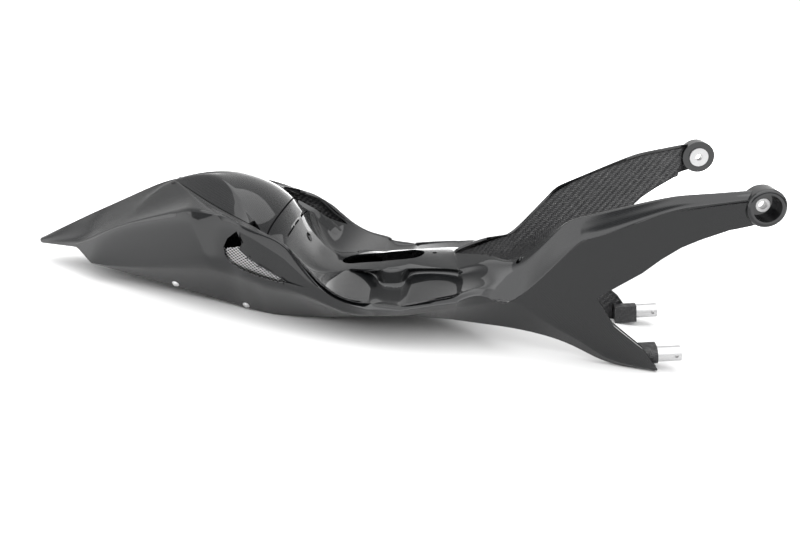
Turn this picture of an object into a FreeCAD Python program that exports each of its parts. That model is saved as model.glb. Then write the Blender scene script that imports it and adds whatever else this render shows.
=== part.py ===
import FreeCAD, Part
import Sketcher
import math
import os

# Motorcycle tail fairing. X points forward, Y left, Z up, in millimetres.
# The shell lies on the ground plane on its two belly edges and on the feet of its two lower arms.

os.makedirs("parts", exist_ok=True)
doc = FreeCAD.newDocument("TailFairing")
V = FreeCAD.Vector

# Driving dimensions
sheet = doc.addObject("Spreadsheet::Sheet", "Sizes")
driving = {
    "overall_length": 850.0,
    "shell_width": 260.0,
    "crown_height": 147.0,
    "shell_wall": 2.6,
    "cover_wall": 1.6,
    "cover_clearance": 0.4,
    "seam_gap": 1.2,
    "bond_gap": 0.3,
    "tray_wall": 2.0,
    "tray_flange": 11.0,
    "web_wall": 2.4,
    "web_foot": 38.0,
    "web_gap": 0.8,
    "boss_ahead": 17.0,
    "boss_below": 13.0,
    "boss_diameter": 40.0,
    "boss_length": 24.0,
    "cup_diameter": 28.0,
    "cup_depth": 15.0,
    "bolt_bore": 8.5,
    "bush_diameter": 14.0,
    "bush_flange": 23.5,
    "bush_flange_thickness": 3.0,
    "seat_clearance": 0.1,
    "spigot_ahead": 1.0,
    "spigot_inset": 9.0,
    "spigot_above": 17.6,
    "spigot_tilt": 12.0,
    "spigot_diameter": 18.0,
    "spigot_wall": 2.5,
    "spigot_reach": 27.0,
    "spigot_depth": 24.0,
    "spigot_shank": 16.0,
    "pin_bore": 4.0,
    "pin_setback": 6.0,
    "socket_wall": 2.0,
    "socket_length": 28.0,
    "rivet_head": 9.0,
    "rivet_dome": 2.2,
    "rivet_shank": 4.8,
    "rivet_tail": 5.4,
    "rivet_slack": 1.5,
    "rivet_lift": 0.15,
    "rivet_rise": 6.2,
    "slot_length": 101.0,
    "slot_width": 36.0,
    "slot_centre": 17.0,
    "screw_bore": 6.0,
    "vent_pitch": 7.0,
    "vent_wire": 1.1,
    "vent_thickness": 0.8,
    "vent_border": 4.0,
    "vent_drop": 0.3,
    "side_start": 40.0,
}
for number, (alias, value) in enumerate(driving.items(), start=1):
    sheet.set(f"A{number}", alias)
    sheet.set(f"B{number}", str(value))
    sheet.setAlias(f"B{number}", alias)
doc.recompute()


def size(alias):
    return float(sheet.get(alias))


# Left half of the sculpted form, section by section from the tail tip to the arm ends. Each gives
# a point on every feature line, or None where it lies evenly between its neighbours.
# The seam line goes on as the inner rim of the recess, and the side crease as its outer rim.
feature_lines = ["ridge", "rib_edge", "rib_foot", "seam", "shoulder", "side_crease", "lower_crease", "sill"]
sections = {
    "tip": [(-425, 0, 31), (-425, 3, 31), (-425, 5.5, 30.5), (-424.5, 7, 29.5), (-424, 8, 28),
            (-423.5, 8.6, 26.5), (-423, 8.8, 24.5), (-422.5, 8.4, 22.5)],
    "tail_step": [(-368, 0, 66.5), None, None, None, None, (-366, 30, 40), (-366, 31, 37), (-366, 30, 35)],
    "tail_corner": [(-338, 0, 84.5), None, None, None, None, (-335, 41, 57), (-339, 46, 24), (-339, 43, 21)],
    "tail": [(-296, 0, 109.5), None, None, None, None, (-287, 58, 84), (-285, 61, 33), (-288, 50, 18)],
    "break": [(-252, 0, 132), None, None, (-249, 9, 131), (-219, 46, 126), (-208, 85, 118),
              (-181, 96, 62), (-188, 62, 9)],
    "crown": [(-192, 0, 147), (-190, 20, 146), None, (-193, 54, 124), (-182, 76, 124),
              (-165, 98, 122), (-150, 105, 60), (-155, 65, 5)],
    "hump": [(-138, 0, 140), (-142, 62, 127), None, (-138, 90, 117), (-136, 98, 116.5),
             (-135, 105, 115), (-134, 109, 59), (-133, 68, 2.5)],
    "cover_end": [(-106, 0, 121), (-112, 66, 108), (-113, 86, 92), (-113, 103, 112), (-112, 106, 111),
                  (-111, 109, 109), (-119, 113, 57.5), (-112, 70, 1)],
    "wall_top": [(-92, 0, 103), (-94, 54, 97.5), (-90, 89, 86.5), (-86, 109, 103), (-84, 112, 101),
                 (-82, 115, 98), (-97, 117, 54), (-92, 71, 1)],
    "wall_foot": [(-58, 0, 58), (-57, 36, 57), (-56, 62, 57), (-50, 117, 74), (-48, 120, 73.5),
                  (-46, 125, 68), (-56, 124, 51), (-50, 72, 5.5)],
    "bowl": [(-20, 0, 60), (-22, 36, 57), (-22, 48, 57), (-16, 121, 58), (-16, 125, 57),
             (-15, 129, 53), (-12, 124, 38), (-15, 72, 10)],
    "notch_rear": [(12, 0, 68), (12, 36, 63), (12, 58, 57), (12, 118, 54), (12, 124, 54),
                   (13, 130, 48), (17, 120, 37), (12, 72, 14)],
    "notch_floor": [(23, 0, 71), (23, 36, 65.5), (24, 62, 50), (24, 111, 50), (24, 122, 54.5),
                    (25, 129, 49), (28, 119, 37.5), (24, 72, 16)],
    "notch_lip": [(46, 0, 77), (46, 36, 70), (46, 62, 52), (46, 111, 53), (46, 120, 58.5),
                  (47, 127, 53), (48, 115, 39.5), (46, 72, 20)],
    "notch_front": [(58, 0, 79.5), (58, 36, 72.5), (58, 55, 66), (59, 110, 62), (60, 116, 62.5),
                    (61, 123, 57), (60, 111, 40.5), (59, 72, 23)],
    "fork": [(104, 0, 87), (104, 41, 80), (104, 58, 71.5), (102, 101, 73), (103, 105, 71.5),
             (105, 113, 64.5), (106, 102, 51), (104, 72, 26)],
    "fork_side": [(110, 13, 90), (114, 43, 82), (115, 61, 73), (113, 97, 75), (113, 101, 73.5),
                  (115, 109, 67), (116, 100, 54), (115, 72, 26.5)],
    "deck_end": [(148, 40, 101), (148, 56, 96), (145, 74, 84), (140, 88, 79), (141, 93, 76.5),
                 (142, 99, 71), (146, 95, 61), (148, 73, 27)],
    "arm_root": [(176, 57, 109), (183, 68, 109), None, None, None,
                 (178, 92, 70), (181, 91, 65), (186, 74, 27)],
    "arm_rise": [(214, 75, 156), (215, 79, 156), None, None, None,
                 (228, 98, 136), (225, 88, 47), (228, 75, 23)],
    "arm_bend": [(243, 86, 178), (244, 90, 178), None, None, None,
                 (255, 104, 157), (262, 85, 31), (262, 75, 14)],
    "arm_mid": [(307, 107, 210), (307, 111, 210), None, None, None,
                (309, 119, 192), (297, 84, 15), (292, 76, 4)],
    "arm_fore": [(343, 118, 223), (343, 122, 223.5), None, None, None,
                 (345, 130, 210), (330, 84, 10), (325, 77, 0)],
    "arm_end": [(388, 130, 236), (388, 134, 236), None, None, None,
                (388, 143, 226), (356, 84, 8), (354, 77, 0)],
}
names = list(sections)
place = {name: number for number, name in enumerate(names)}
LINES = len(feature_lines)
SEAM = feature_lines.index("seam")
side_line, lower_line, sill = (feature_lines.index(n) for n in ("side_crease", "lower_crease", "sill"))
FORK = place["fork"]
LAST = len(names) - 1

# The driving sizes stretch the form from the sizes at which its sections are drawn
drawn_length = sections["arm_end"][1][0] - sections["tip"][0][0]
drawn_width = 2 * max(sections[name][side_line][1] for name in names[:place["arm_root"]])
stretch = V(
    (size("overall_length") - size("boss_ahead") - size("boss_diameter") / 2) / drawn_length,
    size("shell_width") / drawn_width,
    size("crown_height") / sections["crown"][0][2],
)


def at(x, y, z):
    return V(x * stretch.x, y * stretch.y, z * stretch.z)


def filled(points):
    """Spaces the open places of a section evenly between their neighbours."""
    known = [i for i, p in enumerate(points) if p is not None]
    full = []
    for i in range(len(points)):
        low = max(k for k in known if k <= i)
        high = min(k for k in known if k >= i)
        share = 0 if high == low else (i - low) / (high - low)
        full.append(at(*points[low]).multiply(1 - share) + at(*points[high]).multiply(share))
    return full


half = [filled(sections[name]) for name in names]
station = [0.0]
for before, after in zip(half, half[1:]):
    station.append(station[-1] + sum(a.distanceToPoint(b) for a, b in zip(before, after)) / LINES)

# Sections where faces end, and for each feature line the sections where it has a kink
panels = [place[n] for n in ("tip", "tail_step", "tail_corner", "break", "hump", "cover_end", "wall_top",
                             "wall_foot", "notch_rear", "notch_floor", "notch_lip", "notch_front",
                             "fork", "arm_root", "arm_fore", "arm_end")]
ends = ["tip", "arm_end"]
stepped = ["tail_step", "tail_corner"]
kinks = [
    ends + ["tail_step", "break", "cover_end", "wall_top", "fork", "arm_root"],
    ends + ["tail_step", "break", "hump", "cover_end", "wall_top", "arm_root"],
    ends + ["tail_step", "break", "hump", "cover_end", "wall_top", "notch_rear", "notch_floor",
            "notch_lip", "notch_front", "arm_root"],
    ends + ["tail_step", "break", "cover_end", "notch_rear", "notch_floor", "notch_lip", "notch_front",
            "arm_root"],
    ends + ["tail_step", "break", "cover_end", "arm_root"],
    ends + stepped + ["arm_root"],
    ends + stepped + ["break", "arm_root"],
    ends + stepped + ["arm_root", "arm_fore"],
]
kinks = [sorted(place[n] for n in names_of) for names_of in kinks]


def inward(grid, i, s, on_centre):
    """Vector of one millimetre of wall at line i of section s, pointing into the part."""
    here = grid[s][i]

    def neighbour(di, ds):
        j, t = i + di, s + ds
        if not 0 <= t <= LAST or j >= LINES:
            return None
        if j < 0:
            if not on_centre:
                return None
            p = grid[t][-j]
            return V(p.x, -p.y, p.z)
        return grid[t][j]

    total = V()
    normals = []
    for di, ds in ((1, 1), (-1, 1), (-1, -1), (1, -1)):
        a, b = neighbour(di, 0), neighbour(0, ds)
        if a is None or b is None:
            continue
        normal = (a - here).cross(b - here) * (di * ds)
        if normal.Length < 1e-6:
            continue
        normal.normalize()
        normals.append(normal)
        total += normal
    total.normalize()
    if on_centre and i == 0:
        total.y = 0
        total.normalize()
    lean = sum(total.dot(n) for n in normals) / len(normals)
    return total * (1 / max(lean, 0.6))


drop = [[inward(half, i, s, i == 0 and s <= FORK) for i in range(LINES)] for s in range(LAST + 1)]


def offset(depth):
    """Grid of the form, moved into the wall by the given depth."""
    return [[half[s][i] + drop[s][i] * depth for i in range(LINES)] for s in range(LAST + 1)]


def feature_line(grid, i, first, last, side):
    """Edges of feature line i between two sections, one for each panel."""
    edges = []
    for a, b in zip(kinks[i], kinks[i][1:]):
        points = [V(grid[s][i].x, side * grid[s][i].y, grid[s][i].z) for s in range(a, b + 1)]
        curve = None
        if len(points) > 2:
            curve = Part.BSplineCurve()
            curve.interpolate(Points=points, Parameters=station[a:b + 1])
        stops = [s for s in panels if a <= s <= b]
        for c, d in zip(stops, stops[1:]):
            if c < first or d > last:
                continue
            if curve:
                edges.append(curve.toShape(station[c], station[d]))
            else:
                edges.append(Part.makeLine(points[c - a], points[d - a]))
    return edges


def strip(edges, other):
    return [Part.makeRuledSurface(a, b, 1) for a, b in zip(edges, other)]


def rung(grid, i, s, side):
    a, b = grid[s][i], grid[s][i + 1]
    return Part.makeLine(V(a.x, side * a.y, a.z), V(b.x, side * b.y, b.z))


def sewn(faces, label):
    shell = Part.makeShell(faces)
    shell.sewShape()
    solid = Part.makeSolid(shell)
    if solid.Volume < 0:
        solid.reverse()
    print(label, "closed", shell.isClosed(), "valid", solid.isValid(), "volume", round(solid.Volume))
    return solid


# Outer moulding: skin faces, with the bed of the cover let in below them
wall = size("shell_wall")
bed_depth = size("cover_wall") + size("cover_clearance")
COVER = (place["break"], place["cover_end"])
skin, inside = offset(0), offset(wall)
bed_top, bed_under = offset(bed_depth), offset(bed_depth + wall)
faces = []
for side in (1, -1):
    for outer, bed in ((skin, bed_top), (inside, bed_under)):
        for i in range(LINES - 1):
            spans = [(0, LAST)]
            if i < SEAM:
                spans = [(0, COVER[0]), (COVER[1], LAST)]
                faces += strip(feature_line(bed, i, *COVER, side), feature_line(bed, i + 1, *COVER, side))
                for s in COVER:
                    faces.append(Part.makeRuledSurface(rung(outer, i, s, side), rung(bed, i, s, side), 1))
            for first, last in spans:
                faces += strip(feature_line(outer, i, first, last, side),
                               feature_line(outer, i + 1, first, last, side))
        faces += strip(feature_line(outer, SEAM, *COVER, side), feature_line(bed, SEAM, *COVER, side))
    for i, first in ((sill, 0), (0, FORK)):
        faces += strip(feature_line(skin, i, first, LAST, side), feature_line(inside, i, first, LAST, side))
    for s in (0, LAST):
        for i in range(LINES - 1):
            faces.append(Part.makeRuledSurface(rung(skin, i, s, side), rung(inside, i, s, side), 1))
moulding = sewn(faces, "moulding")


def prism_y(points):
    """Solid with a side-view outline, on the left side only, past the widest place of the form."""
    wire = Part.makePolygon([at(x, size("side_start"), z) for x, z in points + points[:1]])
    return Part.Face(wire).extrude(V(0, size("shell_width"), 0))


def prism_z(points, floor):
    """Solid with an outline seen from above, from a floor to over the form."""
    wire = Part.makePolygon([at(x, y, floor) for x, y in points + points[:1]])
    return Part.Face(wire).extrude(V(0, 0, size("crown_height")))


def mirrored(shape):
    return shape.mirror(V(0, 0, 0), V(0, 1, 0))


def both(shape):
    return [shape, mirrored(shape)]


# What the outer moulding gains: arm end bosses and a solid tail tip
def cylinder_y(x, y, z, diameter, length):
    return Part.makeCylinder(diameter / 2, length, V(x, y, z), V(0, 1, 0))


boss_middle = at(*sections["arm_end"][1]) + V(size("boss_ahead"), 0, -size("boss_below"))
boss_root = boss_middle - V(0, size("boss_length") / 2, 0)
boss_top = boss_root.y + size("boss_length")
boss = cylinder_y(*boss_root, size("boss_diameter"), size("boss_length"))
nose_lines = (0, SEAM, side_line, sill)
nose_sections = []
for share in (0.02, 0.2):
    ring = [half[0][i] * (1 - share) + half[1][i] * share for i in nose_lines]
    ring += [V(p.x, -p.y, p.z) for p in ring[:0:-1]]
    middle = V(ring[0].x, 0, sum(p.z for p in ring) / len(ring))
    ring = [middle + V(0, (p.y - middle.y) * 0.9, (p.z - middle.z) * 0.9) for p in ring]
    nose_sections.append(Part.makePolygon(ring + ring[:1]))
nose = Part.makeLoft(nose_sections, True, True)
moulding = moulding.fuse(both(boss) + [nose])

# What is cut from it
crotch = [(268, 86), (294, 54), (332, 30), (357, 4), (440, 4), (440, 204), (401, 203.5), (378, 193),
          (355, 177), (339, 164), (323, 146), (308, 126)]
window = [(-144, 109), (-155, 98), (-159, 87), (-157, 79), (-150, 71), (-135, 66), (-118, 63),
          (-99, 61), (-86, 60.5), (-83, 63), (-118, 75), (-141, 87), (-137, 95), (-140, 103)]
side_gap = [(-131, 76.5), (-113, 85.5), (-103, 87), (-90, 88.5), (-72, 96.5), (-58, 105), (-46, 113),
            (-50, 115.5), (-86, 107.5), (-113, 101.5), (-133, 91)]
beyond = sections["cover_end"][lower_line][1]
cover_notch = side_gap[:3] + [(side_gap[2][0], beyond), (side_gap[-1][0], beyond)] + side_gap[-1:]
boss_zone = cylinder_y(boss_root.x, 0, boss_root.z, size("boss_diameter"), boss_top + 1)
gap_tool = prism_y(crotch).cut(boss_zone)
window_tool = prism_y(window)
gap_floor = 62
side_tool = prism_z(side_gap, gap_floor)
cup_floor = boss_top - size("cup_depth")
cup = cylinder_y(boss_root.x, cup_floor, boss_root.z, size("cup_diameter"), size("cup_depth") + 1)
bush_hole = cylinder_y(boss_root.x, boss_root.y - 1, boss_root.z,
                       size("bush_diameter") + 2 * size("seat_clearance"), size("boss_length"))


def hole_z(x, y, diameter):
    p = at(x, y, 0)
    return Part.makeCylinder(diameter / 2, 2 * size("crown_height"), V(p.x, p.y, deck_under))


deck_under = at(0, 0, 35).z
screw_places = [(146, 37), (178, 63)]
slot_round = size("slot_width") / 2
slot_half = size("slot_length") / 2 - slot_round
slot_middle = V(at(size("slot_centre"), 0, 0).x, 0, deck_under)
slot_height = size("crown_height")
slot_corner = slot_middle - V(slot_half, slot_round, 0)
slot = Part.makeBox(2 * slot_half, 2 * slot_round, slot_height, slot_corner)
for end in (-1, 1):
    slot = slot.fuse(Part.makeCylinder(slot_round, slot_height, slot_middle + V(end * slot_half, 0, 0)))
cuts = both(gap_tool) + both(window_tool) + both(side_tool) + both(cup) + both(bush_hole) + [slot]
cuts.append(hole_z(80, 0, size("screw_bore")))
for x, y in screw_places:
    cuts += both(hole_z(x, y, size("screw_bore")))
wall_normal = (at(*sections["wall_foot"][0]) - at(*sections["wall_top"][0])).cross(V(0, -1, 0))
wall_normal.normalize()
wire_hole = [V(9 * math.cos(math.radians(a)), 7 * math.sin(math.radians(a)), 0) for a in range(0, 361, 60)]
wire_hole = Part.Face(Part.makePolygon(wire_hole)).extrude(V(0, 0, 40))
facing_wall = FreeCAD.Rotation(V(0, 0, 1), wall_normal)
wire_hole.Placement = FreeCAD.Placement(at(-75, 0, 80.5) - wall_normal * 20, facing_wall)
cuts.append(wire_hole)


def line_curve(grid, i, u):
    """Point of feature line i at a place between sections, on the left side."""
    a = max(k for k in kinks[i] if station[k] <= u)
    b = min(k for k in kinks[i] if station[k] > u)
    if b - a == 1:
        share = (u - station[a]) / (station[b] - station[a])
        return grid[a][i] * (1 - share) + grid[b][i] * share
    curve = Part.BSplineCurve()
    curve.interpolate(Points=[grid[s][i] for s in range(a, b + 1)], Parameters=station[a:b + 1])
    return curve.value(u)


def param(name, other, share):
    return station[place[name]] * (1 - share) + station[place[other]] * share


# Rivets through the sill flange: place and outward direction
rivets = {}
for label, u in (("rear", param("tail", "break", 0.58)), ("front", param("crown", "hump", 0.9))):
    foot, upper = line_curve(skin, sill, u), line_curve(skin, sill - 1, u)
    under = line_curve(inside, sill, u)
    climb = upper - foot
    climb.normalize()
    out = foot - under
    out = out - climb * out.dot(climb)
    out.normalize()
    rivets[label] = (foot + climb * size("rivet_rise") + out * size("rivet_lift"), out)
shank_radius = size("rivet_shank") / 2 + size("seat_clearance")
shank_holes = []
for spot, out in rivets.values():
    shank_holes += both(Part.makeCylinder(shank_radius, 12, spot - out * 8, out))
moulding = moulding.cut(cuts + shank_holes)


def publish(label, shape):
    feature = doc.addObject("Part::Feature", label)
    feature.Label = label
    feature.Shape = shape


def main_solid(shape, label):
    solids = sorted(shape.Solids, key=lambda s: -s.Volume)
    print(label, "solids", [round(s.Volume) for s in solids], "valid", shape.isValid())
    return solids[0]


publish("upper_shell", main_solid(moulding, "upper_shell"))


# Closed tubes between feature lines, for the pieces that lie inside the moulding
def panels_of(first, last):
    return sorted({first, last, *[s for s in panels if first < s < last]})


def tube(rows, row_kinks, first, last, label, along=station):
    """Solid between rows of points in a ring, each row given section by section."""
    stations = panels_of(first, last)
    lines = []
    for row, stops in zip(rows, row_kinks):
        edges = []
        stops = sorted({first, last, *[k for k in stops if first < k < last]})
        for a, b in zip(stops, stops[1:]):
            if b - a > 1:
                curve = Part.BSplineCurve()
                curve.interpolate(Points=[row[s] for s in range(a, b + 1)], Parameters=along[a:b + 1])
            for c in [s for s in stations if a <= s < b]:
                d = min(s for s in stations if s > c)
                if b - a > 1:
                    edges.append(curve.toShape(along[c], along[d]))
                else:
                    edges.append(Part.makeLine(row[c], row[d]))
        lines.append(edges)
    tube_faces = []
    for i in range(len(lines)):
        tube_faces += strip(lines[i], lines[(i + 1) % len(lines)])
    for s in (first, last):
        ring = [row[s] for row in rows]
        if max(p.y for p in ring) - min(p.y for p in ring) < 1e-6:
            tube_faces.append(Part.Face(Part.makePolygon(ring + ring[:1])))
            continue
        for i in range(len(ring) // 2 - 1):
            a, b, c, d = ring[i], ring[i + 1], ring[-i - 2], ring[-i - 1]
            for corner in ((a, b, d), (b, c, d)):
                if (corner[1] - corner[0]).cross(corner[2] - corner[0]).Length > 1e-6:
                    tube_faces.append(Part.Face(Part.makePolygon([*corner, corner[0]])))
    return sewn(tube_faces, label)


def row_of(grid, i, side=1):
    return [V(grid[s][i].x, side * grid[s][i].y, grid[s][i].z) for s in range(LAST + 1)]


def blend(row, other, share):
    return [a * (1 - share) + b * share for a, b in zip(row, other)]


def shifted(row, x=0, y=0, z=0):
    return [p + V(x, y, z) for p in row]


# Cover of the hump, drawn in by the seam gap along its border
def drawn_in(grid):
    first, last = COVER
    gap = size("seam_gap")
    moved = [list(line) for line in grid]
    for s in range(first, last + 1):
        pull = grid[s][SEAM - 1] - grid[s][SEAM]
        pull.normalize()
        moved[s][SEAM] = grid[s][SEAM] + pull * gap
    for i in range(SEAM + 1):
        moved[first][i], moved[last][i] = (line_curve(moved, i, cover_station[s]) for s in COVER)
    return moved


cover_station = list(station)
cover_station[COVER[0]] += 2 * size("seam_gap")
cover_station[COVER[1]] -= size("seam_gap")
cover_top, cover_under = drawn_in(skin), drawn_in(offset(size("cover_wall")))
cover_rows, cover_kinks = [], []
for grid, near in ((cover_top, 1), (cover_under, -1)):
    for side, order in ((near, range(SEAM, 0, -1)), (-near, range(SEAM + 1))):
        cover_rows += [row_of(grid, i, side) for i in order]
        cover_kinks += [kinks[i] for i in order]
cover = tube(cover_rows, cover_kinks, *COVER, "hump_cover", cover_station)
publish("hump_cover", main_solid(cover.cut(both(prism_z(cover_notch, gap_floor))), "hump_cover"))

# Belly tray: raised centre, corners along the sills and flanges up inside them
bond = size("bond_gap")
lid, lid_in = offset(wall + bond), offset(wall + bond + size("tray_wall"))
rise = size("tray_flange")


def tray_flange_row(grid, side):
    row = []
    for s in range(LAST + 1):
        foot, upper = grid[s][sill], grid[s][sill - 1]
        share = min(rise / (skin[s][sill - 1] - skin[s][sill]).Length, 0.8)
        p = foot * (1 - share) + upper * share
        row.append(V(p.x, side * p.y, p.z))
    return row


tray_rows = []
for grid, lift, order in ((lid, 1.0, (1, -1)), (lid_in, 1.0 + size("tray_wall"), (-1, 1))):
    chain = []
    for side in order:
        corner = shifted(row_of(grid, sill, side), z=lift)
        pair = [tray_flange_row(grid, side), corner]
        chain += pair if side == order[0] else pair[::-1]
        if side == order[0]:
            chain.append([V(p.x, 0, p.z + 5) for p in corner])
    tray_rows += chain
tray_kinks = [kinks[sill]] * len(tray_rows)
tray = tube(tray_rows, tray_kinks, place["tail_corner"], FORK, "undertray")
publish("undertray", tray.cut(shank_holes))

# Inner laminate: a web round the fork that widens into a closed beam behind each arm
web_wall = size("web_wall")
web_foot = size("web_foot")
beam_rows = [row_of(lid, i) for i in range(LINES)]
beam_rows.append(shifted(beam_rows[sill], y=-3))
beam_rows.append(shifted(blend(beam_rows[0], beam_rows[sill], 0.3), y=-7))
for s in (FORK, FORK + 1):
    top = lid[s][0] - V(0, 0, size("web_gap"))
    ahead = lid[s + 1][0] - (lid[s - 1][0] if s > FORK else V(lid[s + 1][0].x, -lid[s + 1][0].y, 0))
    back = V(-ahead.y, ahead.x, 0)
    back.normalize()
    for i in range(LINES):
        fall = (top.z - web_foot) * max(i - 1, 0) / (LINES - 2)
        beam_rows[i][s] = top + back * (web_wall if i else 0) - V(0, 0, fall)
    beam_rows[LINES][s] = V(top.x, top.y, web_foot)
    beam_rows[LINES + 1][s] = V(top.x, top.y, (top.z + web_foot) / 2)
deeper = offset(wall + bond + size("web_gap"))
for s in (place["deck_end"], place["arm_root"]):
    for i in range(LINES):
        beam_rows[i][s] = deeper[s][i]
web_end = [place["fork_side"], place["deck_end"]]
beam_kinks = [sorted(stops + web_end) for stops in kinks + [kinks[sill], kinks[sill]]]
beam = tube(beam_rows, beam_kinks, FORK, LAST, "inner beam")
zone = cylinder_y(boss_root.x, 0, boss_root.z, size("boss_diameter") + 2 * bond, boss_top + 1)


# Spigots: aluminium tubes in laminate sockets at the lower arm ends
def local_cylinder(name, diameter, length, place_at):
    """Cylinder bound to the sheet, along the local Z axis."""
    rod = doc.addObject("Part::Cylinder", name)
    rod.setExpression("Radius", f"({diameter}) / 2")
    rod.setExpression("Height", length)
    rod.Placement = place_at
    return rod


def boolean(kind, name, base, tool):
    result = doc.addObject(kind, name)
    result.Base = base
    result.Tool = tool
    return result


def spigot_frame(side, back):
    tilt = math.radians(size("spigot_tilt"))
    axis = V(math.cos(tilt), 0, math.sin(tilt))
    foot = at(*sections["arm_end"][sill])
    root = V(foot.x + size("spigot_ahead"), side * (foot.y - size("spigot_inset")), size("spigot_above"))
    return FreeCAD.Placement(root - axis * back, FreeCAD.Rotation(V(0, 0, 1), axis))


def make_spigot(side, word):
    full_length = "Sizes.spigot_depth + Sizes.spigot_reach"
    bore_diameter = "Sizes.spigot_diameter - 2 * Sizes.spigot_wall"
    buried = spigot_frame(side, size("spigot_depth"))
    shank = local_cylinder(f"{word}_shank", "Sizes.spigot_shank", "Sizes.spigot_depth + 1", buried)
    head = local_cylinder(f"{word}_head", "Sizes.spigot_diameter", "Sizes.spigot_reach",
                          spigot_frame(side, -size("seat_clearance")))
    rod = boolean("Part::Fuse", f"{word}_rod", shank, head)
    bore = local_cylinder(f"{word}_rod_bore", bore_diameter, full_length + " + 1", buried)
    pipe = boolean("Part::Cut", f"{word}_pipe", rod, bore)
    pin = local_cylinder(f"{word}_pin", "Sizes.pin_bore", "Sizes.spigot_diameter * 2", FreeCAD.Placement())
    centre = spigot_frame(side, size("pin_setback") - size("spigot_reach")).Base
    crosswise = FreeCAD.Rotation(V(0, 0, 1), V(0, 1, 0))
    pin.Placement = FreeCAD.Placement(centre - V(0, size("spigot_diameter"), 0), crosswise)
    spigot = boolean("Part::Cut", f"{word}_spigot", pipe, pin)
    spigot.Label = f"{word}_spigot"


def make_socket(side, word):
    frame = spigot_frame(side, size("socket_length"))
    outside = "Sizes.spigot_diameter + 2 * Sizes.socket_wall"
    barrel = local_cylinder(f"{word}_barrel", outside, "Sizes.socket_length", frame)
    block = doc.addObject("Part::Box", f"{word}_block")
    block.setExpression("Length", outside)
    block.setExpression("Width", f"({outside}) / 2")
    block.setExpression("Height", "Sizes.socket_length")
    radius = size("spigot_diameter") / 2 + size("socket_wall")
    shift = V(-radius, -radius if side == 1 else 0, 0)
    block.Placement = FreeCAD.Placement(frame.Base + frame.Rotation.multVec(shift), frame.Rotation)
    body = boolean("Part::Fuse", f"{word}_socket_body", barrel, block)
    deepest = spigot_frame(side, size("spigot_depth") + size("seat_clearance"))
    bore_diameter = "Sizes.spigot_shank + 2 * Sizes.seat_clearance"
    hole = local_cylinder(f"{word}_socket_bore", bore_diameter, "Sizes.spigot_depth + 1", deepest)
    socket = boolean("Part::Cut", f"{word}_socket", body, hole)
    socket.Label = f"{word}_socket"


# Turned pieces: half profile in sheet expressions, turned about the local Z axis
def turned(label, profile, placed):
    body = doc.addObject("PartDesign::Body", label + "_body")
    body.Label = label
    sketch = body.newObject("Sketcher::SketchObject", label + "_profile")
    plane = next(f for f in body.Origin.OriginFeatures if f.Role == "XZ_Plane")
    sketch.AttachmentSupport = [(plane, "")]
    sketch.MapMode = "FlatFace"
    guess = [V(evaluate(r), evaluate(z), 0) for r, z in profile]
    count = len(guess)
    for i in range(count):
        sketch.addGeometry(Part.LineSegment(guess[i], guess[(i + 1) % count]))
    for i in range(count):
        sketch.addConstraint(Sketcher.Constraint("Coincident", i, 2, (i + 1) % count, 1))
    for i, (r, z) in enumerate(profile):
        if guess[i].x < 1e-9:
            sketch.addConstraint(Sketcher.Constraint("PointOnObject", i, 1, -2))
        else:
            number = sketch.addConstraint(Sketcher.Constraint("DistanceX", -1, 1, i, 1, guess[i].x))
            sketch.setExpression(f"Constraints[{number}]", r)
        if abs(guess[i].y) < 1e-9:
            sketch.addConstraint(Sketcher.Constraint("PointOnObject", i, 1, -1))
        else:
            first, second = (-1, i) if guess[i].y > 0 else (i, -1)
            height = abs(guess[i].y)
            number = sketch.addConstraint(Sketcher.Constraint("DistanceY", first, 1, second, 1, height))
            sketch.setExpression(f"Constraints[{number}]", z if guess[i].y > 0 else f"-({z})")
    spin = body.newObject("PartDesign::Revolution", label + "_turn")
    spin.Profile = sketch
    spin.ReferenceAxis = (sketch, ["V_Axis"])
    spin.Angle = 360
    body.Tip = spin
    body.Placement = placed


def evaluate(expression):
    """Value of a sheet expression, worked out by the document itself."""
    probe.setExpression("Value", expression)
    probe.recompute()
    return float(probe.Value)


probe = doc.addObject("App::FeaturePython", "Probe")
probe.addProperty("App::PropertyFloat", "Value")

bush_profile = [
    ("Sizes.bolt_bore / 2", "0"),
    ("Sizes.bush_flange / 2", "0"),
    ("Sizes.bush_flange / 2", "Sizes.bush_flange_thickness"),
    ("Sizes.bush_diameter / 2", "Sizes.bush_flange_thickness"),
    ("Sizes.bush_diameter / 2", "Sizes.bush_flange_thickness + Sizes.boss_length - Sizes.cup_depth"),
    ("Sizes.bolt_bore / 2", "Sizes.bush_flange_thickness + Sizes.boss_length - Sizes.cup_depth"),
]
grip = "Sizes.shell_wall + Sizes.bond_gap + Sizes.tray_wall + Sizes.rivet_slack"
rivet_profile = [
    ("0", "Sizes.rivet_dome"),
    ("Sizes.rivet_head * 0.3", "Sizes.rivet_dome * 0.82"),
    ("Sizes.rivet_head * 0.5", "Sizes.rivet_dome * 0.2"),
    ("Sizes.rivet_head * 0.5", "0"),
    ("Sizes.rivet_shank / 2", "0"),
    ("Sizes.rivet_shank / 2", f"-({grip})"),
    ("Sizes.rivet_tail / 2", f"-({grip})"),
    ("Sizes.rivet_tail / 2", f"-({grip}) - 1.6"),
    ("0", f"-({grip}) - 1.6"),
]
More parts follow.
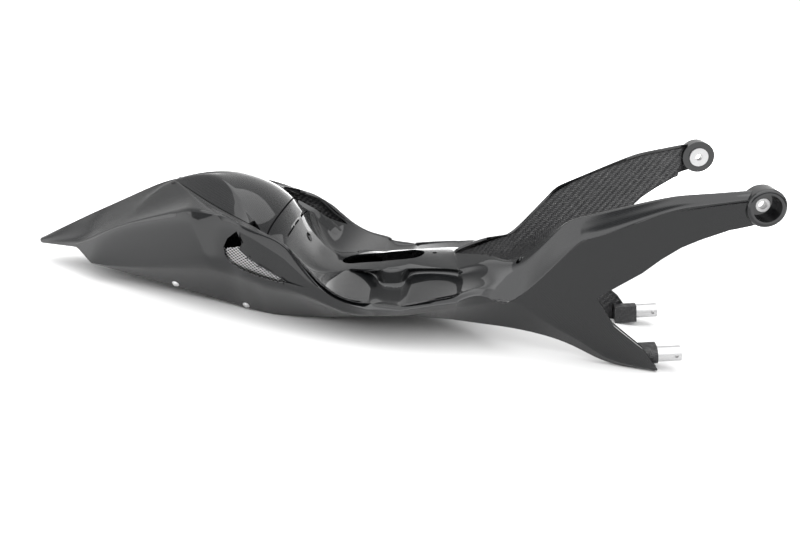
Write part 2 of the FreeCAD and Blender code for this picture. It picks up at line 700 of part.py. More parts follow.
for side, word in ((1, "left"), (-1, "right")):
    make_spigot(side, word)
    make_socket(side, word)
    seat = V(boss_root.x, side * (boss_root.y - size("bush_flange_thickness")), boss_root.z)
    turned(f"{word}_bush", bush_profile, FreeCAD.Placement(seat, FreeCAD.Rotation(V(0, 0, 1), V(0, side, 0))))
    for end, (spot, out) in rivets.items():
        here, away = V(spot.x, side * spot.y, spot.z), V(out.x, side * out.y, out.z)
        turned(f"{word}_{end}_rivet", rivet_profile, FreeCAD.Placement(here, FreeCAD.Rotation(V(0, 0, 1), away)))
    if side == 1:
        doc.recompute()
        frame = spigot_frame(side, size("socket_length") + bond)
        radius = size("spigot_diameter") / 2 + size("socket_wall") + bond
        barrel_zone = Part.makeCylinder(radius, size("socket_length") + 40, V(), V(0, 0, 1))
        block_zone = Part.makeBox(2 * radius, radius + 20, size("socket_length") + 40, V(-radius, -radius - 20, 0))
        socket_zone = barrel_zone.fuse(block_zone)
        socket_zone.Placement = frame
screw_holes = [hole_z(x, y, size("screw_bore")) for x, y in screw_places]
half_frame = main_solid(beam.cut([gap_tool, zone, socket_zone] + screw_holes), "inner_frame half")
publish("inner_frame", main_solid(half_frame.fuse(mirrored(half_frame)), "inner_frame"))


# Vent grilles: a sheet behind each scoop window, pierced with diamonds
def within(x, z, outline):
    inside_it = False
    for (x1, z1), (x2, z2) in zip(outline, outline[1:] + outline[:1]):
        if (z1 > z) != (z2 > z) and x < (x2 - x1) * (z - z1) / (z2 - z1) + x1:
            inside_it = not inside_it
    return inside_it


sheet_out, sheet_in = (offset(wall + size("vent_drop") + d) for d in (0, size("vent_thickness")))
vent_rows = [row_of(sheet_out, side_line), row_of(sheet_out, lower_line)]
vent_rows += [row_of(sheet_in, lower_line), row_of(sheet_in, side_line)]
vent_kinks = [kinks[side_line], kinks[lower_line], kinks[lower_line], kinks[side_line]]
vent = tube(vent_rows, vent_kinks, place["break"], place["wall_foot"], "vent sheet")
middle_x = sum(x for x, z in window) / len(window)
middle_z = sum(z for x, z in window) / len(window)
border = size("vent_border")
outline_wire = Part.makePolygon([at(x, size("side_start"), z) for x, z in window + window[:1]])
outline_face = Part.Face(outline_wire.makeOffset2D(border))
if outline_face.BoundBox.XLength < outline_wire.BoundBox.XLength:
    outline_face = Part.Face(outline_wire.makeOffset2D(-border))
vent = vent.common(outline_face.extrude(V(0, size("shell_width"), 0)))
pitch_x = size("vent_pitch")
pitch_z = pitch_x * 0.62
half_x, half_z = pitch_x / 2 - size("vent_wire"), pitch_z / 2 - size("vent_wire") * 0.62
diamonds = []
for row in range(-14, 15):
    for column in range(-16, 17):
        x = middle_x + (column + (row % 2) / 2) * pitch_x
        z = middle_z + row * pitch_z / 2
        corners = [(x - half_x, z), (x, z + half_z), (x + half_x, z), (x, z - half_z)]
        if all(within(cx, cz, window) for cx, cz in corners):
            diamonds.append(prism_y(corners))
print("diamonds", len(diamonds))
vent = main_solid(vent.cut(diamonds), "vent")
publish("left_vent_grille", vent)
publish("right_vent_grille", mirrored(vent))

doc.recompute()
exported = 0
kept = ("Part::Feature", "PartDesign::Body")
final = [o for o in doc.Objects if o.TypeId in kept or o.Label.endswith(("_spigot", "_socket"))]
for item in final:
    shape = item.Shape
    state = [word for word in item.State if word in ("Invalid", "Error")]
    if state or shape.isNull() or not shape.isValid() or len(shape.Solids) != 1:
        raise RuntimeError(f"{item.Label} is not one sound solid: {state}")
    shape.exportStep(f"parts/{item.Label}.step")
    exported += 1
print("pieces", exported)
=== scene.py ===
import bpy
import bmesh
import math
from mathutils import Matrix, Vector


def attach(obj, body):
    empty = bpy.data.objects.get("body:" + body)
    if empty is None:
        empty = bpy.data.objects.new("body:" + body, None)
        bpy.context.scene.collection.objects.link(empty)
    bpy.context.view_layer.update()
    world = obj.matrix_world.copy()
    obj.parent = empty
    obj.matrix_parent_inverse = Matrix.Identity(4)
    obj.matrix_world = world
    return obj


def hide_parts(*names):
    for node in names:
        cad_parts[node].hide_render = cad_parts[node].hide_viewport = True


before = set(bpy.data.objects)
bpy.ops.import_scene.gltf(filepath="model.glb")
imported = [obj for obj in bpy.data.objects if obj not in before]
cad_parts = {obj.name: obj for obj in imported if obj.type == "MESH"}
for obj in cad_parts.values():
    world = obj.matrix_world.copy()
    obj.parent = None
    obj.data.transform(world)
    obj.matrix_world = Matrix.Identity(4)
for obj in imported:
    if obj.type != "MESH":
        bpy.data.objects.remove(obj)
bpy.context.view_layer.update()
scene = bpy.context.scene
mm = 0.001
print("frame loaded:", len(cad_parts), "nodes")


# small helpers

def newObject(name, mesh, *materials):
    obj = bpy.data.objects.new(name, mesh)
    scene.collection.objects.link(obj)
    for material in materials:
        mesh.materials.append(material)
    return obj


def fromBmesh(name, bm, *materials):
    mesh = bpy.data.meshes.new(name)
    bm.to_mesh(mesh)
    bm.free()
    return newObject(name, mesh, *materials)


def settle(obj):  # turns the modifiers so far into plain mesh
    graph = bpy.context.evaluated_depsgraph_get()
    mesh = bpy.data.meshes.new_from_object(obj.evaluated_get(graph), depsgraph=graph)
    old = obj.data
    obj.modifiers.clear()
    obj.data = mesh
    bpy.data.meshes.remove(old)
    return obj


def addModifier(obj, kind, **values):
    modifier = obj.modifiers.new(kind.title(), kind)
    for key, value in values.items():
        setattr(modifier, key, value)


def polish(obj):  # smooth faces, with edges over the angle kept sharp
    obj.data.shade_smooth()
    obj.data.set_sharp_from_angle(angle=math.radians(40))
    addModifier(obj, "WEIGHTED_NORMAL", keep_sharp=True, weight=50)
    return obj


# material helpers

def newMaterial(name):
    material = bpy.data.materials.new(name)
    material.use_nodes = True
    nodes = material.node_tree.nodes
    return material, nodes, material.node_tree.links, nodes["Principled BSDF"]


def node(nodes, kind, **values):
    made = nodes.new(kind)
    for key, value in values.items():
        setattr(made, key, value)
    return made


def feed(links, socket, value):  # a number is set on the socket, an output is linked to it
    if isinstance(value, (int, float)):
        socket.default_value = value
    else:
        links.new(value, socket)


def setLevels(shader, levels):  # what is the same all over stands on the shader's own sockets
    for name, value in levels.items():
        shader.inputs[name].default_value = value


def objectPlace(nodes):
    return node(nodes, "ShaderNodeTexCoord").outputs["Object"]


def splitVector(nodes, links, vector):
    made = node(nodes, "ShaderNodeSeparateXYZ")
    links.new(vector, made.inputs[0])
    return list(made.outputs)


def mathNode(nodes, links, operation, a, b=None, clamp=False):
    made = node(nodes, "ShaderNodeMath", operation=operation, use_clamp=clamp)
    for socket, value in zip(made.inputs, (a, b)):
        if value is not None:
            feed(links, socket, value)
    return made.outputs[0]


def noise(nodes, links, place, scale, detail=2.0, distortion=0.0):
    made = node(nodes, "ShaderNodeTexNoise")
    setLevels(made, {"Scale": scale, "Detail": detail, "Distortion": distortion})
    links.new(place, made.inputs["Vector"])
    return made.outputs["Fac"]


def fade(nodes, links, source, span, ends):  # runs smoothly from one value to another
    made = node(nodes, "ShaderNodeMapRange", interpolation_type="SMOOTHSTEP")
    for name, value in zip(("Value", "From Min", "From Max", "To Min", "To Max"), (source, *span, *ends)):
        feed(links, made.inputs[name], value)
    return made.outputs["Result"]


def mixColours(nodes, links, share, first, second):
    made = node(nodes, "ShaderNodeMix", data_type="RGBA")
    links.new(share, made.inputs["Factor"])
    made.inputs["A"].default_value = (*first, 1)
    made.inputs["B"].default_value = (*second, 1)
    return made.outputs["Result"]


def addBump(nodes, links, shader, height, strength, distance):
    bump = node(nodes, "ShaderNodeBump")
    setLevels(bump, {"Strength": strength, "Distance": distance})
    links.new(height, bump.inputs["Height"])
    links.new(bump.outputs["Normal"], shader.inputs["Normal"])


def twill(nodes, links, u, v, tow):  # one where the lengthwise tow is on top, and the tow's height
    def calc(operation, a, b=None):
        return mathNode(nodes, links, operation, a, b)

    across, along = calc("DIVIDE", u, tow), calc("DIVIDE", v, tow)
    order = calc("FLOORED_MODULO", calc("SUBTRACT", calc("FLOOR", across), calc("FLOOR", along)), 4.0)
    onTop = calc("LESS_THAN", order, 2.0)
    height = node(nodes, "ShaderNodeMix", data_type="FLOAT")
    links.new(onTop, height.inputs["Factor"])
    for socket, tows in (("A", across), ("B", along)):  # each tow is rounded
        links.new(calc("SINE", calc("MULTIPLY", calc("FRACT", tows), math.pi)), height.inputs[socket])
    return onTop, height.outputs["Result"]


# finishes

glossLook = {"tow": 0.7 * mm, "dark": (0.0023, 0.0026, 0.003), "light": (0.0072, 0.0078, 0.0086),
             "weave": 0.75, "drift": 0.35, "driftScale": 9.0, "bump": 0.5, "bumpDepth": 0.12 * mm,
             "levels": {"Metallic": 0.7, "Roughness": 0.40, "Specular IOR Level": 0.1,
                        "Coat Weight": 1.0, "Coat Roughness": 0.04, "Coat IOR": 1.46}}


def glossCarbon(name, mapped):  # fine twill under clear coat, along the piece's own map or laid flat
    look = glossLook
    material, nodes, links, shader = newMaterial(name)
    place = objectPlace(nodes)
    cloth = node(nodes, "ShaderNodeUVMap", uv_map="cloth").outputs["UV"] if mapped else place
    u, v, _ = splitVector(nodes, links, cloth)
    onTop, height = twill(nodes, links, u, v, look["tow"])
    weave = mathNode(nodes, links, "MULTIPLY", onTop, look["weave"])
    drift = mathNode(nodes, links, "MULTIPLY", noise(nodes, links, place, look["driftScale"]), look["drift"])
    shade = mathNode(nodes, links, "ADD", weave, drift, clamp=True)
    links.new(mixColours(nodes, links, shade, look["dark"], look["light"]), shader.inputs["Base Color"])
    addBump(nodes, links, shader, height, look["bump"], look["bumpDepth"])
    setLevels(shader, look["levels"])
    return material


# folds and grain are a noise's scale, detail and distortion; each tow direction stretches its own fibre
# streaks, whose light colour is a painted glint
rawLook = {"tow": 2.2 * mm, "slant": 0.6, "folds": (55.0, 4.0, 0.6), "grain": (420.0, 3.0),
           "weaveHeight": 0.18, "grainHeight": 0.12, "bump": 0.85, "bumpDepth": 2.2 * mm,
           "stretches": ((160, 160, 1500), (1300, 160, 260)), "fibreGlints": (1.0, 2.0, 1.2),
           "dark": (0.62, (0.006, 0.006, 0.007)), "light": (0.86, (0.22, 0.22, 0.21)),
           "levels": {"Roughness": 0.33, "Specular IOR Level": 0.55}}


def rawCarbon():  # bag side of the laminate: open weave and resin folds, with painted glints on the fibre streaks
    look = rawLook
    material, nodes, links, shader = newMaterial("rawCarbon")
    place = objectPlace(nodes)
    x, y, z = splitVector(nodes, links, place)
    slant = mathNode(nodes, links, "ADD", x, mathNode(nodes, links, "MULTIPLY", y, look["slant"]))
    onTop, height = twill(nodes, links, slant, z, look["tow"])
    weave = mathNode(nodes, links, "MULTIPLY", height, look["weaveHeight"])
    grain = noise(nodes, links, place, *look["grain"])
    grain = mathNode(nodes, links, "MULTIPLY", grain, look["grainHeight"])
    relief = mathNode(nodes, links, "ADD", weave, noise(nodes, links, place, *look["folds"]))
    relief = mathNode(nodes, links, "ADD", relief, grain)
    addBump(nodes, links, shader, relief, look["bump"], look["bumpDepth"])
    fibreGlints = node(nodes, "ShaderNodeMix", data_type="FLOAT")
    links.new(onTop, fibreGlints.inputs["Factor"])
    for socket, stretch in zip(("A", "B"), look["stretches"]):
        along = node(nodes, "ShaderNodeVectorMath", operation="MULTIPLY")
        links.new(place, along.inputs[0])
        along.inputs[1].default_value = stretch
        links.new(noise(nodes, links, along.outputs["Vector"], *look["fibreGlints"]), fibreGlints.inputs[socket])
    # the light end of the ramp paints glints on the fibre streaks, and the dark end is the black laminate
    tone = node(nodes, "ShaderNodeValToRGB")
    for stop, (position, colour) in zip(tone.color_ramp.elements, (look["dark"], look["light"])):
        stop.position = position
        stop.color = (*colour, 1)
    links.new(fibreGlints.outputs["Result"], tone.inputs["Fac"])
    links.new(tone.outputs["Color"], shader.inputs["Base Color"])
    setLevels(shader, look["levels"])
    return material


metalLooks = {"machinedAluminium": {"base": 0.60, "rough": 0.48, "grain": 900.0},
              "grilleMesh": {"base": 0.66, "rough": 0.35, "grain": 600.0},
              "rivetMetal": {"base": 0.80, "rough": 0.30, "grain": 500.0}}
metalSpread = 0.07  # how far the roughness wanders
metalDull = (0.86, 0.86, 0.87)  # tint of the duller grains


def turnedMetal(name):
    look = metalLooks[name]
    material, nodes, links, shader = newMaterial(name)
    grain = noise(nodes, links, objectPlace(nodes), look["grain"])
    spread = node(nodes, "ShaderNodeMapRange")
    setLevels(spread, {"To Min": look["rough"] - metalSpread, "To Max": look["rough"] + metalSpread})
    links.new(grain, spread.inputs["Value"])
    links.new(spread.outputs["Result"], shader.inputs["Roughness"])
    bright = [look["base"]] * 3
    dull = [look["base"] * share for share in metalDull]
    links.new(mixColours(nodes, links, grain, bright, dull), shader.inputs["Base Color"])
    shader.inputs["Metallic"].default_value = 1.0
    return material


# colours of the painted shade in the gap round the cover
gapShadeLook = {"grain": 700.0, "dark": (0.002, 0.002, 0.002), "light": (0.008, 0.008, 0.009),
               "levels": {"Roughness": 0.85, "Specular IOR Level": 0.1}}


def gapShadeMaterial():  # painted shade for the gap round the cover: black, matt, slightly grainy
    look = gapShadeLook
    material, nodes, links, shader = newMaterial("paintedGapShade")
    grain = noise(nodes, links, objectPlace(nodes), look["grain"])
    links.new(mixColours(nodes, links, grain, look["dark"], look["light"]), shader.inputs["Base Color"])
    setLevels(shader, look["levels"])
    return material


gloss = glossCarbon("glossCarbon", True)
gapShade = gapShadeMaterial()
flatGloss = glossCarbon("flatCarbon", False)
raw = rawCarbon()
aluminium = turnedMetal("machinedAluminium")
meshMetal = turnedMetal("grilleMesh")
rivetMetal = turnedMetal("rivetMetal")
print("materials ready")


# outer moulding: left half sections from the tail tip to the arm ends, eight points each from the
# centre ridge down to the sill, in millimetres. An open place lies evenly between its neighbours.

moulding = {
    "wall": 2.6, "rimWall": 0.45,  # the second is the share of the wall left under the rim
    "soft": 0.52, "hard": 0.62,  # strengths of the creases
    "subdivisions": 3, "rounds": 14,  # rounds of fitting the skin to its points
    "reach": 145.5,  # nothing but the bosses stands out further
    "bedDepth": 2.4, "bedInset": 0.02, "bedTail": (-225, -248), "bedLeast": 0.25,  # the tail is where it fades
    "sections": {
        "tip": [(-425, 0, 31), (-425, 3, 31), (-424.8, 5.5, 30.6), (-424.2, 7.2, 30), (-423.6, 8.2, 29.2),
                (-423, 8.8, 28.2), (-422, 8.8, 27), (-420.5, 8.2, 26)],
        "tailStep": [(-368, 0, 66.5), None, None, None, None, (-366, 30, 40), (-366, 31, 37),
                     (-366, 30, 35)],
        "tailCorner": [(-338, 0, 84.5), None, None, None, None, (-335, 41, 57), (-339, 46, 24),
                       (-339, 43, 21)],
        "tail": [(-296, 0, 109.5), None, None, None, None, (-287, 58, 84), (-285, 61, 33), (-288, 50, 18)],
        "breakLine": [(-252, 0, 132), None, None, (-249, 9, 131), (-219, 47, 127), (-208, 87, 119),
                      (-181, 98.5, 62), (-188, 62, 9)],
        "crown": [(-192, 0, 147), (-190, 20, 146), None, (-193, 54, 124), (-182, 75, 123.5),
                  (-165, 95.5, 121.5), (-150, 103, 60), (-155, 65, 5)],
        "hump": [(-138, 0, 140), (-142, 62, 127), None, (-138, 90, 117), (-136, 98, 116.5),
                 (-135, 105, 115), (-134, 109, 59), (-133, 68, 2.5)],
        "coverEnd": [(-106, 0, 121), (-112, 66, 108), (-113, 86, 92), (-113, 103, 112), (-112, 106, 111),
                     (-111, 109, 109), (-119, 113, 57.5), (-112, 70, 1)],
        "wallTop": [(-92, 0, 103), (-94, 54, 97.5), (-90, 89, 86.5), (-86, 109, 103), (-84, 112, 101),
                    (-82, 115, 98), (-97, 117, 54), (-92, 71, 1)],
        "wallFoot": [(-58, 0, 58), (-57, 36, 57), (-56, 62, 57), (-50, 117, 74), (-48, 120, 73.5),
                     (-46, 125, 68), (-56, 124, 51), (-50, 72, 5.5)],
        "bowl": [(-20, 0, 60), (-22, 36, 57), (-22, 48, 57), (-16, 121, 58), (-16, 125, 57),
                 (-15, 129, 53), (-12, 124, 38), (-15, 72, 10)],
        "notchRear": [(12, 0, 68), (12, 39, 62.5), (12, 46, 51.5), (12, 118, 54), (12, 124, 54),
                      (13, 130, 48), (17, 120, 37), (12, 72, 14)],
        "notchFloor": [(23, 0, 71), (23, 39, 65), (24, 46, 46.5), (24, 111, 49.5), (24, 122, 52.5),
                       (25, 129, 48.5), (28, 119, 37.5), (24, 72, 16)],
        "notchLip": [(46, 0, 77), (46, 39, 69.5), (46, 46, 49), (46, 111, 51), (46, 120, 53),
                     (47, 127, 50), (48, 115, 39.5), (46, 72, 20)],
        "notchFront": [(58, 0, 79.5), (58, 39, 72), (58, 46, 61), (59, 110, 55.5), (60, 116, 56),
                       (61, 123, 52.5), (60, 111, 40.5), (59, 72, 23)],
        "fork": [(104, 0, 87), (104, 43, 79.5), (104, 52, 70), (102, 101, 67.5), (103, 105, 67),
                 (105, 113, 62), (106, 102, 51), (104, 72, 26)],
        "forkSide": [(110, 13, 90), (114, 45, 81.5), (115, 56, 71.5), (113, 97, 70.5), (113, 101, 70),
                     (115, 109, 65), (116, 100, 54), (115, 72, 26.5)],
        "deckEnd": [(148, 40, 101), (148, 56, 96), (145, 74, 84), (140, 88, 79), (141, 93, 76.5),
                    (142, 99, 71), (146, 95, 61), (148, 73, 27)],
        "armRoot": [(176, 57, 109), (183, 68, 109), None, None, None, (178, 92, 70), (181, 91, 65),
                    (186, 74, 27)],
        "armRise": [(214, 75, 156), (215, 79, 156), None, None, None, (228, 98, 136), (225, 88, 47),
                    (228, 75, 23)],
        "armBend": [(243, 86, 178), (244, 90, 178), None, None, None, (255, 104, 157), (262, 85, 31),
                    (262, 75, 14)],
        "armMid": [(307, 107, 210), (307, 111, 210), None, None, None, (309, 119, 192), (297, 84, 15),
                   (292, 76, 4)],
        "armFore": [(343, 118, 223), (343, 122, 223.5), None, None, None, (345, 130, 210), (330, 84, 10),
                    (325, 77, 0)],
        "armEnd": [(388, 130, 236), (388, 134, 236), None, None, None, (388, 143, 226), (356, 84, 8),
                   (354, 77, 0)],
        "armTip": [(404, 131, 239), (404, 135, 239), None, None, None, (407, 144, 229), (376, 86, 8),
                   (374, 78, 0)],
    },
    # feature lines that are creases, from one section to another, and how sharp
    "creases": [
        (0, "tip", "crown", "soft"), (0, "fork", "armTip", "hard"),
        (1, "crown", "hump", "hard"), (1, "bowl", "deckEnd", "hard"), (1, "armRoot", "armTip", "hard"),
        (2, "hump", "wallTop", "hard"), (2, "notchRear", "notchFront", "soft"),
        (3, "breakLine", "wallFoot", "hard"), (3, "notchRear", "notchFront", "soft"),
        (4, "hump", "wallFoot", "soft"),
        (5, "tip", "deckEnd", "soft"), (5, "deckEnd", "armTip", "hard"),
        (6, "tip", "wallFoot", "hard"), (6, "wallFoot", "forkSide", "soft"),
        (6, "forkSide", "armTip", "hard"),
    ],
    # sections that are creases, from one feature line to another
    "ribs": [
        ("breakLine", 3, 6), ("coverEnd", 0, 3), ("wallTop", 0, 3), ("tailStep", 5, 7), ("tailCorner", 5, 7),
        ("notchRear", 2, 3), ("notchLip", 2, 3), ("notchFront", 2, 3),
    ],
    "crotch": [(268, 86), (294, 54), (332, 30), (356, 5), (356, -3), (440, -3), (440, 204), (401, 203.5),
               (378, 193), (355, 177), (339, 164), (323, 146), (308, 126)],
    "window": [(-144, 109), (-155, 98), (-159, 87), (-157, 79), (-150, 71), (-135, 66), (-118, 63),
               (-99, 61), (-86, 60.5), (-83, 63), (-118, 75), (-141, 87), (-137, 95), (-140, 103)],
    "blade": {"top": [(-140, 109), (-125, 105), (-87, 89.5), (-66, 76.5), (-50, 65.5)],
              "bottom": [(-60, 61.5), (-83, 62.5), (-118, 75), (-141, 87), (-137, 95), (-140, 103)],
              "low": [(-141, 87), (-118, 75), (-83, 62.5), (-60, 61.5), (-50, 65.5)],
              "depth": 4.5, "taper": 40, "clear": 0.05},
    "sideGap": [(-131, 76.5), (-113, 85.5), (-103, 87), (-90, 88.5), (-72, 96.5), (-58, 105), (-46, 113),
                (-50, 115.5), (-86, 107.5), (-113, 101.5), (-133, 91)],
    "dashes": [[(-92.9, 7), (-91.5, 7), (-92.1, 25), (-93.5, 25)],
               [(-93.6, 29), (-92.2, 29), (-93.4, 58), (-94.8, 58)]],
    "slot": {"length": 101, "width": 36, "x": 17},
    "screws": [(80, 0, 6), (146, 37, 6), (178, 63, 6)],
    "wireHole": {"at": 80.5, "y": 9, "z": 5.8, "sides": 6},
    "boss": {"x": 405, "y": 134, "z": 223, "diameter": 40, "length": 24, "round": 4,
             "cup": 28, "cupDepth": 15, "bore": 14.2},
    # from where to where each cutter goes: along x for the wireHole, y for the first three, z for the rest
    "spans": {"crotch": (40, 180), "window": (80, 140), "blade": (81, 141), "sideGap": (62, 160),
              "dashes": (84, 125), "slot": (35, 115), "screws": (60, 140), "wireHole": (-92, -55)},
}
sectionAt = {name: number for number, name in enumerate(moulding["sections"])}
lineCount = 8
seamLine = 3
spans = moulding["spans"]
bladeOutline = moulding["blade"]["top"] + moulding["blade"]["bottom"]


def filledSection(points):  # open places are spaced evenly between their neighbours
    known = [i for i, p in enumerate(points) if p is not None]
    full = []
    for i in range(len(points)):
        low = max(k for k in known if k <= i)
        high = min(k for k in known if k >= i)
        share = 0 if high == low else (i - low) / (high - low)
        full.append(Vector(points[low]).lerp(Vector(points[high]), share) * mm)
    return full


def addCreases(bm):
    crease = bm.edges.layers.float.new("crease_edge")

    def sharpen(a, b, strength):
        bm.edges.get((bm.verts[a], bm.verts[b]))[crease] = moulding[strength]

    for i, first, last, strength in moulding["creases"]:
        for s in range(sectionAt[first], sectionAt[last]):
            sharpen(s * lineCount + i, (s + 1) * lineCount + i, strength)
    for name, first, last in moulding["ribs"]:
        start = sectionAt[name] * lineCount
        for i in range(first, last):
            sharpen(start + i, start + i + 1, "hard")


def thinRim(bm):  # the wall is thinner under the tightly rolled rim
    weight = bm.verts.layers.deform.verify()
    for vert in bm.verts:
        s, i = divmod(vert.index, lineCount)
        rim = 2 <= i <= 5 and sectionAt["hump"] <= s <= sectionAt["armRise"]
        vert[weight][0] = moulding["rimWall"] if rim else 1


def layCloth(bm, sections):  # gives the cloth its own map in metres, and marks the faces under the cover
    cloth = bm.loops.layers.uv.new("cloth")
    girth, length = [], [0.0]
    for s, section in enumerate(sections):
        run = [0.0]
        for a, b in zip(section, section[1:]):
            run.append(run[-1] + (b - a).length)
        girth.append(run)
        if s:
            length.append(length[-1] + (section[5] - sections[s - 1][5]).length)
    for face in bm.faces:
        s = min(v.index // lineCount for v in face.verts)
        i = min(v.index % lineCount for v in face.verts)
        face.material_index = int(sectionAt["breakLine"] <= s < sectionAt["coverEnd"] and i < seamLine)
        for loop in face.loops:
            s, i = divmod(loop.vert.index, lineCount)
            loop[cloth].uv = (length[s], girth[s][i])


def cageMesh():  # half cage, one grid vertex a point
    sections = [filledSection(points) for points in moulding["sections"].values()]
    bm = bmesh.new()
    bmesh.ops.create_grid(bm, x_segments=lineCount - 1, y_segments=len(sections) - 1, size=1)
    bm.verts.ensure_lookup_table()
    targets = [p for section in sections for p in section]
    for vert, p in zip(bm.verts, targets):
        vert.co = p
    addCreases(bm)
    layCloth(bm, sections)
    thinRim(bm)
    bmesh.ops.recalc_face_normals(bm, faces=bm.faces)
    if sum(f.normal.z for f in bm.faces if f.calc_center_median().x < -200 * mm) < 0:  # the tail looks up
        bmesh.ops.reverse_faces(bm, faces=bm.faces)
    return bm, targets


def keepInside(obj):  # nothing sinks under the ground or stands out past the boss
    for vert in obj.data.vertices:
        vert.co.z = max(vert.co.z, 0)
        vert.co.y = max(-moulding["reach"] * mm, min(moulding["reach"] * mm, vert.co.y))
    return obj


def smoothSkin():  # outer surface: a subdivision surface that passes through every section point
    bm, targets = cageMesh()
    skin = fromBmesh("skin", bm)
    addModifier(skin, "MIRROR", use_axis=(False, True, False), merge_threshold=0.05 * mm)
    addModifier(skin, "SUBSURF", levels=moulding["subdivisions"], render_levels=moulding["subdivisions"],
                boundary_smooth="PRESERVE_CORNERS")
    for attempt in range(moulding["rounds"]):
        graph = bpy.context.evaluated_depsgraph_get()
        graph.update()
        made = skin.evaluated_get(graph).to_mesh()
        worst = 0.0
        for vert, target in zip(skin.data.vertices, targets):
            miss = target - made.vertices[vert.index].co
            worst = max(worst, miss.length)
            vert.co += miss
        skin.evaluated_get(graph).to_mesh_clear()
        skin.data.update()
    print("skin passes its points within", round(worst / mm, 3), "mm")
    return keepInside(settle(skin))


# cutters: outlines are in millimetres

def combine(obj, operation, bm):  # cuts with, or adds, the closed shapes of one bmesh
    bmesh.ops.recalc_face_normals(bm, faces=bm.faces)
    tool = fromBmesh("tool", bm)
    addModifier(obj, "BOOLEAN", operation=operation, object=tool, solver="MANIFOLD")
    settle(obj)
    bpy.data.objects.remove(tool)


def prism(bm, outline, low, high, axis="Y"):  # an outline pushed along one axis
    def place(a, b, c):
        return Vector({"X": (c, a, b), "Y": (a, c, b), "Z": (a, b, c)}[axis]) * mm

    face = bm.faces.new([bm.verts.new(place(a, b, low)) for a, b in outline])
    pushed = bmesh.ops.extrude_face_region(bm, geom=[face])
    verts = [g for g in pushed["geom"] if isinstance(g, bmesh.types.BMVert)]
    bmesh.ops.translate(bm, vec=place(0, 0, high - low), verts=verts)


def sidePrism(bm, outline, span, side):  # from above on one side, where the left is 1 and the right -1
    prism(bm, outline, side * span[0], side * span[1])


def topPrism(bm, outline, span, side):
    prism(bm, [(x, side * y) for x, y in outline], *span, "Z")


def barrel(bm, x, y, z, diameter, length, axis="Y", segments=48):  # cylinder from y or z upwards
    turn = Matrix.Rotation(math.radians(-90), 4, "X") if axis == "Y" else Matrix()
    middle = Vector((x, y + length / 2, z) if axis == "Y" else (x, y, z + length / 2)) * mm
    radius = diameter / 2 * mm
    bmesh.ops.create_cone(bm, cap_ends=True, segments=segments, radius1=radius, radius2=radius,
                          depth=length * mm, matrix=Matrix.Translation(middle) @ turn)


def mirrorAll(bm):
    bmesh.ops.mirror(bm, geom=bm.verts[:] + bm.edges[:] + bm.faces[:], axis="Y", merge_dist=0)


def slotOutline(slot):
    radius = slot["width"] / 2
    reach = slot["length"] / 2 - radius
    outline = []
    for end in (1, -1):
        for step in range(13):
            angle = math.radians(step * 15 - 90 * end)
            outline.append((slot["x"] + end * reach + radius * math.cos(angle), radius * math.sin(angle)))
    return outline


# outer moulding, cut from the smooth skin

def beddedShell(skin):  # lets the cover's bed into the skin and gives it a wall
    bm = bmesh.new()
    bm.from_mesh(skin.data)
    bed = [f for f in bm.faces if f.material_index == 1]
    flush = {v: v.co.copy() for f in bed for v in f.verts}
    bmesh.ops.inset_region(bm, faces=bed, thickness=moulding["bedInset"] * mm, use_even_offset=False,
                           depth=-moulding["bedDepth"] * mm, use_boundary=True)
    full, end = moulding["bedTail"]
    for vert, before in flush.items():  # the bed gets shallow towards the cover's tail
        if vert.is_valid and vert.co.x < full * mm:
            share = (vert.co.x / mm - end) / (full - end)
            vert.co = before.lerp(vert.co, min(1, max(moulding["bedLeast"], share)))
    for face in bm.faces:  # the deep part of the bed gets painted shade, black and matt, so the gap round the cover reads dark
        deep = face.calc_center_median().x > (full + end) / 2 * mm
        face.material_index = 2 if face.material_index and deep else 0
    shell = fromBmesh("moulding", bm, gloss, raw, gapShade)
    shell.vertex_groups.new(name="wall")
    addModifier(shell, "SOLIDIFY", thickness=moulding["wall"] * mm, offset=-1, material_offset=1,
                vertex_group="wall")
    return keepInside(settle(shell))


def heightAt(line, x):  # height of a line of points at one place
    for (x1, z1), (x2, z2) in zip(line, line[1:]):
        if x <= x2:
            break
    return z1 + (z2 - z1) * min(1, max(0, (x - x1) / (x2 - x1)))


def sinkBlade(obj):  # leaves only the panels beside the windows, leaning inwards towards the grille
    blade = moulding["blade"]
    for vert in obj.data.vertices:
        x, y, z = vert.co / mm
        high, low = heightAt(blade["top"], x), heightAt(blade["low"], x)
        share = min(1, max(0, (high - z) / max(1, high - low)))
        ease = min(1, max(0, (blade["top"][-1][0] - x) / blade["taper"]))
        if abs(y) > spans["window"][0]:
            vert.co.y -= math.copysign(blade["clear"] + blade["depth"] * share * ease, y) * mm
    tools = bmesh.new()
    for side in (1, -1):
        sidePrism(tools, bladeOutline, spans["window"], side)
    combine(obj, "INTERSECT", tools)


def cutOpenings(shell):
    tools = bmesh.new()
    for side in (1, -1):
        sidePrism(tools, moulding["crotch"], spans["crotch"], side)
        sidePrism(tools, moulding["window"], spans["window"], side)
        sidePrism(tools, bladeOutline, spans["blade"], side)
        topPrism(tools, moulding["sideGap"], spans["sideGap"], side)
        for dash in moulding["dashes"]:
            topPrism(tools, dash, spans["dashes"], side)
    topPrism(tools, slotOutline(moulding["slot"]), spans["slot"], 1)
    low, high = spans["screws"]
    for x, y, diameter in moulding["screws"]:
        for side in ((1, -1) if y else (1,)):
            barrel(tools, x, side * y, low, diameter, high - low, "Z", 24)
    hole = moulding["wireHole"]
    turns = [math.tau * k / hole["sides"] for k in range(hole["sides"])]
    outline = [(hole["y"] * math.cos(a), hole["at"] + hole["z"] * math.sin(a)) for a in turns]
    prism(tools, outline, *spans["wireHole"], "X")
    combine(shell, "DIFFERENCE", tools)


